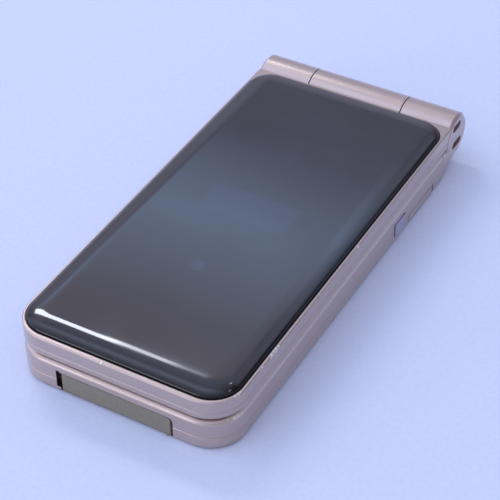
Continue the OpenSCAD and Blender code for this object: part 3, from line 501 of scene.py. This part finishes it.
# fine hairline scratches in three directions, each a stretched grain
scratch_group, given, made = new_group("hairlines", {"Fineness": 500.0, "Amount": 0.5}, ("Mask",))
scratches = None
for turn, shift in ((0.5, 3.0), (1.9, 7.0), (2.7, 11.0)):
    stretched = add(scratch_group, "Mapping", spots(scratch_group), (shift, shift, 0),
                    (0, 0, turn), (0.03, 1, 1)).outputs[0]
    fine = noise(scratch_group, given["Fineness"], 4, where=stretched)
    fine = ramp(scratch_group, fine, 0.655, 0.70)
    scratches = fine if scratches is None else math_node(scratch_group, "MAXIMUM", scratches, fine)
connect(made, Mask=product(scratch_group, scratches, given["Amount"]))


def middle_of(node):
    """The middle of a solid's box."""
    low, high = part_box(node)
    return (low + high) / 2


def field_mask(tree, middle, half_x, half_y, corner, blur):
    """The mask of a soft-edged rectangle round a middle, its other measures in mm."""
    return place(tree, field_group, Centre=(middle.x, middle.y, 0), Corner=corner * MM,
                 Half=(half_x * MM, half_y * MM, 0), Blur=blur * MM)["Mask"]


window_acrylic, tree, finish = new_material("smoked_half_mirror", IOR=1.85)
window_middle = middle_of("lid_window")
half_x, half_y = ((window_high - window_low) / 2 / MM).xy
inside_edge = field_mask(tree, window_middle, half_x - 0.9, half_y - 0.9, 5.6, 0.9)
inside_roll = field_mask(tree, window_middle, half_x - 1.7, half_y - 1.7, 4.6, 1.8)
display_field = field_mask(tree, middle_of("outer_display"), 10.5, 4.75, 0.3, 0.5)
lamp_field = field_mask(tree, middle_of("indicator_lamp"), 1.55, 1.55, 1.55, 0.6)
handling = place(tree, smear_group, Smears=45.0, Dust=1500.0)
tint = mix_colour(tree, inside_edge, linear(13, 8, 8), linear(48, 42, 42))
for mask, share, colour in (
        (display_field, 0.25, linear(62, 72, 94)), (lamp_field, 0.3, linear(70, 78, 98)),
        (handling["Dust"], 0.35, linear(190, 190, 196))):
    tint = mix_colour(tree, product(tree, mask, share), tint, colour)
gloss = ramp(tree, handling["Smear"], 0, 1, 0.06, 0.11)
hairlines = place(tree, scratch_group, Amount=0.025)["Mask"]
connect(finish, Base_Color=tint, Roughness=math_node(tree, "ADD", gloss, hairlines),
        Specular_IOR_Level=ramp(tree, inside_roll, 0, 1, 0.2, 0.5))
window = new_object("domed_window", finished_mesh("domed_window", shape, window_acrylic))
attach(window, "lid")
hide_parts("lid_window")

# ---------------------------------------------------------------- window glue
# The bead of black glue that holds the window. It is laid into the recess wet, and fills the gap
# round the window just under the rim's edge.
glue_top = window_low.z + 0.12 * MM
glue_profile = ((-0.28 * MM, glue_top - 0.02 * MM), (-0.12 * MM, glue_top),
                (0.02 * MM, glue_top - 0.04 * MM))


def moulded(name, colour, other, roughness, grain, relief=0.1, wear=None, wear_and_sheen_colour=None):
    """A moulded or coated finish: two shades in a fine grain, a relief, and lighter edges for wear on
    some pieces and a painted sheen on others.
    """
    material, tree, finish = new_material(name)
    fine = noise(tree, grain, 5, 0.6)
    tint = mix_colour(tree, ramp(tree, fine, 0.35, 0.65), colour, other)
    if wear is not None:
        tint = mix_colour(tree, place(tree, wear_group, Amount=wear)["Mask"], tint, wear_and_sheen_colour)
    connect(finish, Base_Color=tint, Normal=edge_normal(tree, 0.08, fine, relief),
            Roughness=ramp(tree, fine, 0.3, 0.7, roughness - 0.05, roughness + 0.05))
    return material


black_glue = moulded("black_glue", linear(34, 24, 24), linear(24, 16, 17), roughness=0.42, grain=1500)
shape = bmesh.new()
join_rings(shape, [[shape.verts.new((x, y, z)) for x, y in window_ring(inset)]
                   for inset, z in glue_profile])
bmesh.ops.recalc_face_normals(shape, faces=shape.faces)
glue = new_object("window_glue", finished_mesh("window_glue", shape, black_glue))
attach(glue, "lid")

# ---------------------------------------------------------------- connector cover
# A satin olive elastomer flap in the front end, moulded with the pins that it turns on. Its sharp
# edges are painted lighter, a painted sheen for where thumbs have rubbed it shiny.
dress(moulded("olive_elastomer", linear(134, 126, 106), linear(124, 116, 97), roughness=0.42,
              grain=1300, relief=0.12, wear=0.3, wear_and_sheen_colour=linear(160, 154, 140)),
      "connector_cover")

# ---------------------------------------------------------------- side key
# A small moulded button with a cool silver paint, for picture taking and the torch. It stands
# out of the right side through an opening of its own.
dress(paint("side_key_silver", linear(176, 172, 190), linear(160, 156, 176), roughness=0.3,
            metallic=0.55), "side_key")

# ---------------------------------------------------------------- keypad
# Single moulded keys with a pale champagne paint, the ring a shade cooler with a ground centre key,
# and their signs printed on top in dark grey.
number_keys = {"key_%d" % n: str(n) for n in range(10)} | {"key_star": "*", "key_hash": "#"}
dress(paint("key_champagne", linear(212, 200, 192), linear(201, 188, 181), roughness=0.28,
            metallic=0.5),
      *number_keys, "call_key", "clear_key", "end_key", "soft_key_left", "soft_key_right",
      "mail_key", "browser_key")
dress(paint("ring_silver", linear(196, 192, 196), linear(184, 180, 186), roughness=0.24,
            metallic=0.6), "four_way_ring")
dress(paint("centre_champagne", linear(206, 190, 180), linear(192, 176, 168), roughness=0.2,
            metallic=0.7), "center_key")
ink, red_ink, green_ink = [
    moulded(name, colour, other, roughness=0.4, grain=2200, relief=0.04)
    for name, colour, other in (("dark_grey_print", linear(58, 54, 58), linear(48, 45, 50)),
                                ("red_print", linear(168, 40, 44), linear(150, 34, 40)),
                                ("green_print", linear(38, 118, 74), linear(30, 104, 64)))]
print_thickness = 0.02 * MM
print_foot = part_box("key_5")[1].z - 0.01 * MM
ring_print_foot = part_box("four_way_ring")[1].z - 0.17 * MM
digit_size = 5.2 * MM
star_growth, star_drop = 1.5, 0.9 * MM     # a star stands small and high in its line
sign_stroke, ring_stroke = 0.32, 0.3


def printed(name, mesh, body):
    """A printed sign: rides on its key's body."""
    sign = new_object(name, mesh)
    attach(sign, body)


def strokes(name, lines, width, middle, foot, material):
    """A flat mesh of drawn lines with round ends, each line a list of points in mm from a middle."""
    shape = bmesh.new()
    half = width * MM / 2
    for points in lines:
        ends = [Vector((middle.x + x * MM, middle.y + y * MM, foot)) for x, y in points]
        for first, second in zip(ends, ends[1:]):
            side = (second - first).cross(Vector((0, 0, 1))).normalized() * half
            shape.faces.new([shape.verts.new(spot) for spot in (
                first + side, second + side, second - side, first - side)])
        for end in ends:
            shape.faces.new([shape.verts.new(end + Vector((
                half * math.cos(turn * math.pi / 6), half * math.sin(turn * math.pi / 6), 0)))
                for turn in range(12)])
    for face in shape.faces:
        if face.normal.z < 0:
            face.normal_flip()
    solid = bmesh.ops.extrude_face_region(shape, geom=shape.faces[:])
    bmesh.ops.translate(shape, vec=(0, 0, print_thickness),
                        verts=[part for part in solid["geom"] if isinstance(part, bmesh.types.BMVert)])
    bmesh.ops.recalc_face_normals(shape, faces=shape.faces)
    return finished_mesh(name, shape, material)


def arc(radius, start, end, steps, y=0.0):
    """Points of an arc round a middle at y, in mm and degrees."""
    turns = [math.radians(start + (end - start) * step / steps) for step in range(steps + 1)]
    return [(radius * math.cos(turn), y + radius * math.sin(turn)) for turn in turns]


for key, digit in number_keys.items():
    name = key + "_digit"
    curve = bpy.data.curves.new(name, "FONT")
    curve.body = digit
    curve.size = digit_size * (star_growth if digit == "*" else 1)
    curve.align_x = "CENTER"
    curve.align_y = "CENTER"
    curve.extrude = print_thickness / 2
    drawn = bpy.data.objects.new(name + "_curve", curve)
    mesh = bpy.data.meshes.new_from_object(drawn)
    bpy.data.objects.remove(drawn)
    bpy.data.curves.remove(curve)
    middle = middle_of(key)
    drop = star_drop if digit == "*" else 0
    mesh.transform(Matrix.Translation((middle.x, middle.y - drop, print_foot + print_thickness / 2)))
    mesh.name = name
    mesh.materials.clear()
    mesh.materials.append(ink)
    printed(name, mesh, key)

# the signs, as lines of points in mm from the middle of a key
handset = [[(-2.6, -0.5), (-2.5, 0.25), *arc(2.6, 145, 35, 10, -1.2), (2.5, 0.25), (2.6, -0.5)],
           [(-2.6, -0.45), (-1.7, -0.35)], [(2.6, -0.45), (1.7, -0.35)]]
back_arrow = [[(2, 0), (-1.8, 0)], [(-0.6, 1.1), (-1.8, 0), (-0.6, -1.1)]]
envelope = [[(-2, -1.3), (2, -1.3), (2, 1.3), (-2, 1.3), (-2, -1.3)],
            [(-2, 1.3), (0, -0.2), (2, 1.3)]]
globe = [arc(1.7, 0, 360, 28), [(-1.7, 0), (1.7, 0)],
         [(0.8 * math.sin(math.radians(a)), 1.7 * math.cos(math.radians(a)))
          for a in range(0, 361, 20)]]
dash = [[(-1.4, 0), (1.4, 0)]]
for key, lines, sign_ink in (
        ("call_key", handset, green_ink), ("end_key", handset, red_ink),
        ("clear_key", back_arrow, ink), ("mail_key", envelope, ink), ("browser_key", globe, ink),
        ("soft_key_left", dash, ink), ("soft_key_right", dash, ink)):
    name = key + "_sign"
    printed(name, strokes(name, lines, sign_stroke, middle_of(key), print_foot, sign_ink), key)

arrow_tip, arrow_half = 7.6, 0.75
arrow_tail = arrow_tip - arrow_half
arrows = [[(x * cos - y * sin, x * sin + y * cos)
           for x, y in ((arrow_tail, arrow_half), (arrow_tip, 0), (arrow_tail, -arrow_half))]
          for cos, sin in ((1, 0), (0, 1), (-1, 0), (0, -1))]
for name, lines, foot, key in (("ring_arrows", arrows, ring_print_foot, "four_way_ring"),
                               ("centre_dot", [arc(1.5, 0, 360, 28)], print_foot, "center_key")):
    printed(name, strokes(name, lines, ring_stroke, middle_of("four_way_ring"), foot, ink), key)

# ---------------------------------------------------------------- lens and displays
# The inner display looks out through a flush black-printed lens; the glass panels of both
# displays and the lens over the camera are mirror-smooth.
printed_lens, tree, finish = new_material("printed_lens", Coat_Weight=0.3, Coat_Roughness=0.04)
clear_field = field_mask(tree, middle_of("display_lens"), 18.6, 33.5, 0.4, 0.08)
handling = place(tree, smear_group, Smears=55.0, Dust=1800.0)
tint = mix_colour(tree, clear_field, linear(12, 11, 12), linear(36, 40, 48))
tint = mix_colour(tree, product(tree, handling["Dust"], 0.4), tint, linear(180, 180, 186))
gloss = ramp(tree, handling["Smear"], 0, 1, 0.05, 0.12)
hairlines = place(tree, scratch_group, Amount=0.07)["Mask"]
connect(finish, Base_Color=tint, Roughness=math_node(tree, "ADD", gloss, hairlines))
dress(printed_lens, "display_lens")
dress(moulded("display_glass", linear(30, 33, 40), linear(26, 28, 34), roughness=0.12, grain=400,
              relief=0.01), "main_display", "outer_display")
dress(moulded("lamp_resin", linear(206, 214, 226), linear(192, 200, 214), roughness=0.25, grain=700,
              relief=0.02), "indicator_lamp")

# ---------------------------------------------------------------- camera window
# A flush round window in the underside: a black ring with a thin bright bezel round a stepped
# well, and a small coated lens at the bottom of the well.
well_foot = middle_of("camera_window")
well_foot.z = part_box("camera_window")[0].z
# the profiles, as radius and height above the window's face, in mm
bezel = [(3.05, 0.16), (3.05, 0.03), (3.12, 0), (3.32, 0), (3.4, 0.06), (3.4, 0.85),
         (3.05, 0.85), (3.05, 0.16)]
stepped_well = [(3.05, 0.06), (1.75, 0.06), (1.7, 0.1), (1.7, 0.24), (1.45, 0.26), (1.45, 0.42),
                (1.2, 0.44), (1.2, 0.62), (0.98, 0.64), (0.98, 0.8), (3.05, 0.8), (3.05, 0.06)]
lens_radius, lens_foot, lens_rise = 0.98, 0.7, 0.24
lens_dome = [(lens_radius * math.cos(math.radians(a)), lens_foot - lens_rise * math.sin(math.radians(a)))
             for a in range(0, 90, 10)] + [(0, lens_foot - lens_rise)]


def turned(name, profile, foot, material, steps=64):
    """A mesh turned about a vertical axis, from radius and height pairs in mm over a foot."""
    shape = bmesh.new()
    rings = []
    for radius, height in profile:
        turns = [math.tau * step / steps for step in range(steps if radius else 1)]
        rings.append([shape.verts.new(foot + Vector((
            radius * math.cos(turn), radius * math.sin(turn), height)) * MM) for turn in turns])
    for first, second in zip(rings, rings[1:]):
        for step in range(steps):
            following = (step + 1) % steps
            corners = [first[step % len(first)], first[following % len(first)],
                       second[following % len(second)], second[step % len(second)]]
            shape.faces.new(list(dict.fromkeys(corners)))
    bmesh.ops.recalc_face_normals(shape, faces=shape.faces)
    for face in shape.faces:
        face.smooth = True
    mesh = finished_mesh(name, shape, material)
    sharp_angle = math.radians(35)
    mesh.set_sharp_from_angle(angle=sharp_angle)
    return mesh


bezel_paint = paint("bezel_champagne", linear(200, 184, 170), linear(186, 170, 158), roughness=0.25)
black_well = moulded("black_well", linear(20, 20, 22), linear(14, 14, 16), roughness=0.3, grain=1500,
                     relief=0.03)
coated_lens = moulded("coated_lens", linear(28, 24, 52), linear(20, 22, 40), roughness=0.06, grain=300,
                      relief=0)
for name, profile, material, material_slot in (
        ("camera_bezel", bezel, bezel_paint, "champagne_paint"),
        ("camera_well", stepped_well, black_well, "lens_black"),
        ("camera_lens", lens_dome, coated_lens, "display_glass")):
    eye_piece = new_object(name, turned(name, profile, well_foot, material))
    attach(eye_piece, "base")
    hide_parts("camera_window")

# ---------------------------------------------------------------- sound openings
# Fine woven wire cloth stands behind the earpiece's slots in the lid and behind the
# loudspeaker's slots in the underside.
cloth_pitch, cloth_wire, cloth_lift = 0.22, 0.09, 0.03
earpiece_cloth, earpiece_slot_pitch, earpiece_gap = (1.1, 0.42), 3.2, 0.3
speaker_cloth, speaker_slot_pitch, speaker_gap = (3.3, 0.36), 2, 0.2


def metal(name, colour, other, roughness=0.3, grain=600, wear=0.3):
    """A plated or turned metal: clouded tone and gloss with fine scratches and bright edges."""
    material, tree, finish = new_material(name, Metallic=1.0)
    cloud = noise(tree, grain, 6, 0.6)
    tint = mix_colour(tree, ramp(tree, cloud, 0.35, 0.65), colour, other)
    bright = place(tree, wear_group, Amount=wear)["Mask"]
    gloss = ramp(tree, cloud, 0.3, 0.7, roughness - 0.06, roughness + 0.06)
    hairlines = place(tree, scratch_group, Fineness=900.0, Amount=0.18)["Mask"]
    connect(finish, Base_Color=mix_colour(tree, bright, tint, linear(225, 225, 228)),
            Roughness=math_node(tree, "ADD", gloss, hairlines),
            Normal=edge_normal(tree, 0.06, cloud, 0.05))
    return material


blackened_wire = metal("blackened_wire", linear(70, 68, 72), linear(54, 52, 56), roughness=0.4)


def wire_cloth(name, middle, half_x, half_y, body):
    """A rectangle of woven wires, as flat bars that rise and fall, round a middle in mm."""
    shape = bmesh.new()
    for axis, reach, run in ((0, half_x, half_y), (1, half_y, half_x)):
        count = int(2 * reach / cloth_pitch)
        crossings = int(2 * run / cloth_pitch)
        for number in range(count + 1):
            across = (number - count / 2) * cloth_pitch
            previous = None
            for step in range(crossings + 1):
                along = (step - crossings / 2) * cloth_pitch
                lift = cloth_lift if (step + number + axis) % 2 else -cloth_lift
                corners = []
                for side, rise in ((-0.5, -0.25), (-0.5, 0.25), (0.5, -0.25), (0.5, 0.25)):
                    x, y = across + side * cloth_wire, along
                    if axis == 1:
                        x, y = y, x
                    corners.append(shape.verts.new([
                        (start + offset) * MM
                        for start, offset in zip(middle, (x, y, lift + rise * cloth_wire))]))
                if previous:
                    for a, b in ((0, 1), (1, 3), (3, 2), (2, 0)):
                        shape.faces.new((previous[a], previous[b], corners[b], corners[a]))
                previous = corners
    bmesh.ops.recalc_face_normals(shape, faces=shape.faces)
    cloth = new_object(name, finished_mesh(name, shape, blackened_wire))
    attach(cloth, body)


earpiece, speaker = middle_of("earpiece"), middle_of("loudspeaker")
earpiece_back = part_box("earpiece")[0].z / MM - earpiece_gap
speaker_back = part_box("loudspeaker")[0].z / MM - speaker_gap
for number in (1, 2, 3):
    wire_cloth("earpiece_cloth_%d" % number,
               ((number - 2) * earpiece_slot_pitch, earpiece.y / MM, earpiece_back),
               *earpiece_cloth, "lid")
for number in (1, 2, 3):
    wire_cloth("loudspeaker_cloth_%d" % number,
               (speaker.x / MM, speaker.y / MM + (number - 2) * speaker_slot_pitch, speaker_back),
               *speaker_cloth, "base")

# ---------------------------------------------------------------- metal fittings
# Zinc-plated screws, the tin-plated connector shell and card cage, the steel hinge parts with
# their brass friction disc and bush, and the gold-plated contacts.
dress(metal("plated_steel", linear(196, 197, 202), linear(180, 181, 187), roughness=0.26),
      "external_connector", "card_socket", "vibration_motor", "microphone", "lid_magnet")
dress(metal("screw_steel", linear(158, 158, 162), linear(140, 140, 146), roughness=0.32, grain=900,
            wear=0.5), "base_screws", "lid_screws")
dress(metal("hinge_steel", linear(176, 176, 180), linear(160, 160, 165), roughness=0.3, grain=700,
            wear=0.4), "hinge_cartridge", "hinge_rotor", "hinge_spring")
dress(metal("turned_brass", linear(206, 170, 96), linear(188, 152, 82), roughness=0.28, grain=700,
            wear=0.2), "hinge_friction_disc", "hinge_bush")
gold_plate = metal("gold_plate", linear(222, 184, 104), linear(206, 168, 92), roughness=0.22,
                   grain=900, wear=0.1)
bare_foil = metal("bare_foil", linear(176, 178, 184), linear(166, 168, 174), roughness=0.42,
                  grain=500, wear=0.1)


def plates(name, boxes, material, body):
    """Thin plates with bevelled edges, each box a pair of corners in mm."""
    shape = bmesh.new()
    for low, high in boxes:
        for vert in bmesh.ops.create_cube(shape, size=1)["verts"]:
            vert.co = Vector([(low[axis] + (high[axis] - low[axis]) * (vert.co[axis] + 0.5)) * MM
                              for axis in range(3)])
    thinnest = min(high[axis] - low[axis] for low, high in boxes for axis in range(3))
    edge_break = 0.3 * thinnest * MM
    bmesh.ops.bevel(shape, geom=shape.edges[:], offset=edge_break, segments=1, affect="EDGES")
    bmesh.ops.recalc_face_normals(shape, faces=shape.faces)
    piece = new_object(name, finished_mesh(name, shape, material))
    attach(piece, body)


# two rows of contacts on the connector's tongue
tongue_z = middle_of("external_connector").z / MM
contact_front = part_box("external_connector")[0].y / MM + 0.9
contact_rear = contact_front + 4
contact_pitch, contact_half, contact_row, leaf_half = 1.1, 0.25, 0.35, 0.02
plates("connector_contacts", [
    ((x - contact_half, contact_front, z - leaf_half), (x + contact_half, contact_rear, z + leaf_half))
    for x in (number * contact_pitch for number in range(-5, 6))
    for z in (tongue_z - contact_row, tongue_z + contact_row)], gold_plate, "base")

# four contacts on the battery's rear end and the plate on its underside, sunk and proud by a hair
pack_low, pack_high = (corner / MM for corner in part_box("battery_pack"))
sunk, proud = 0.02, 0.03
pad_pitch, pad_half, pad_low, pad_high = 2.6, 0.8, 2.0, 3.4
plate_side, plate_front, plate_rear = 2.5, 3, 6
plates("battery_contacts", [
    ((x - pad_half, pack_high.y - sunk, pad_low), (x + pad_half, pack_high.y + proud, pad_high))
    for x in (number * pad_pitch for number in (-1.5, -0.5, 0.5, 1.5))], gold_plate, "base")
plates("battery_plate", [
    ((pack_low.x + plate_side, pack_low.y + plate_front, pack_low.z - proud),
     (pack_high.x - plate_side, pack_high.y - plate_rear, pack_low.z + sunk))],
    bare_foil, "base")

# ---------------------------------------------------------------- boards and inner plastics
# Green solder mask over copper tracks, the clear film with the key domes, copper-coloured
# ribbons, grey resin packages and the black battery wrap.
solder_mask, tree, finish = new_material("solder_mask", Coat_Weight=0.2, Coat_Roughness=0.3)
tracks = add(tree, "TexBrick", spots(tree), None, None, None, 420, 0.03).outputs["Fac"]
resist = ramp(tree, noise(tree, 160, 4), 0.3, 0.7)
tint = mix_colour(tree, resist, linear(22, 84, 54), linear(16, 66, 42))
connect(finish, Base_Color=mix_colour(tree, product(tree, tracks, 0.7), tint, linear(48, 128, 84)),
        Roughness=ramp(tree, resist, 0, 1, 0.36, 0.46), Normal=edge_normal(tree, 0.05, tracks, 0.2))
dress(solder_mask, "main_board", "lid_board")
dress(moulded("dome_film", linear(196, 198, 200), linear(182, 184, 188), roughness=0.28, grain=500,
              relief=0.05), "dome_sheet")
ribbon_film, tree, finish = new_material("ribbon_film")
traces = add(tree, "TexWave", spots(tree), 640, bands_direction="X").outputs["Fac"]
connect(finish, Roughness=ramp(tree, traces, 0, 1, 0.3, 0.42),
        Base_Color=mix_colour(tree, ramp(tree, traces, 0.45, 0.55), linear(176, 104, 34),
                              linear(204, 136, 58)))
dress(ribbon_film, "base_flex", "lid_flex")
dress(moulded("black_wrap", linear(44, 44, 47), linear(36, 36, 39), roughness=0.42, grain=700,
              relief=0.08, wear=0.4, wear_and_sheen_colour=linear(96, 96, 100)), "battery_pack")
dress(moulded("grey_resin", linear(58, 58, 62), linear(46, 46, 50), roughness=0.5, grain=1100),
      "camera_module", "loudspeaker", "earpiece")
dress(moulded("antenna_ceramic", linear(222, 216, 200), linear(206, 200, 184), roughness=0.4,
              grain=800, relief=0.05), "antenna")
dress(moulded("lid_rubber", linear(74, 68, 70), linear(62, 57, 59), roughness=0.62, grain=1200,
              relief=0.15, wear=0.3, wear_and_sheen_colour=linear(110, 104, 106)), "lid_cushions")
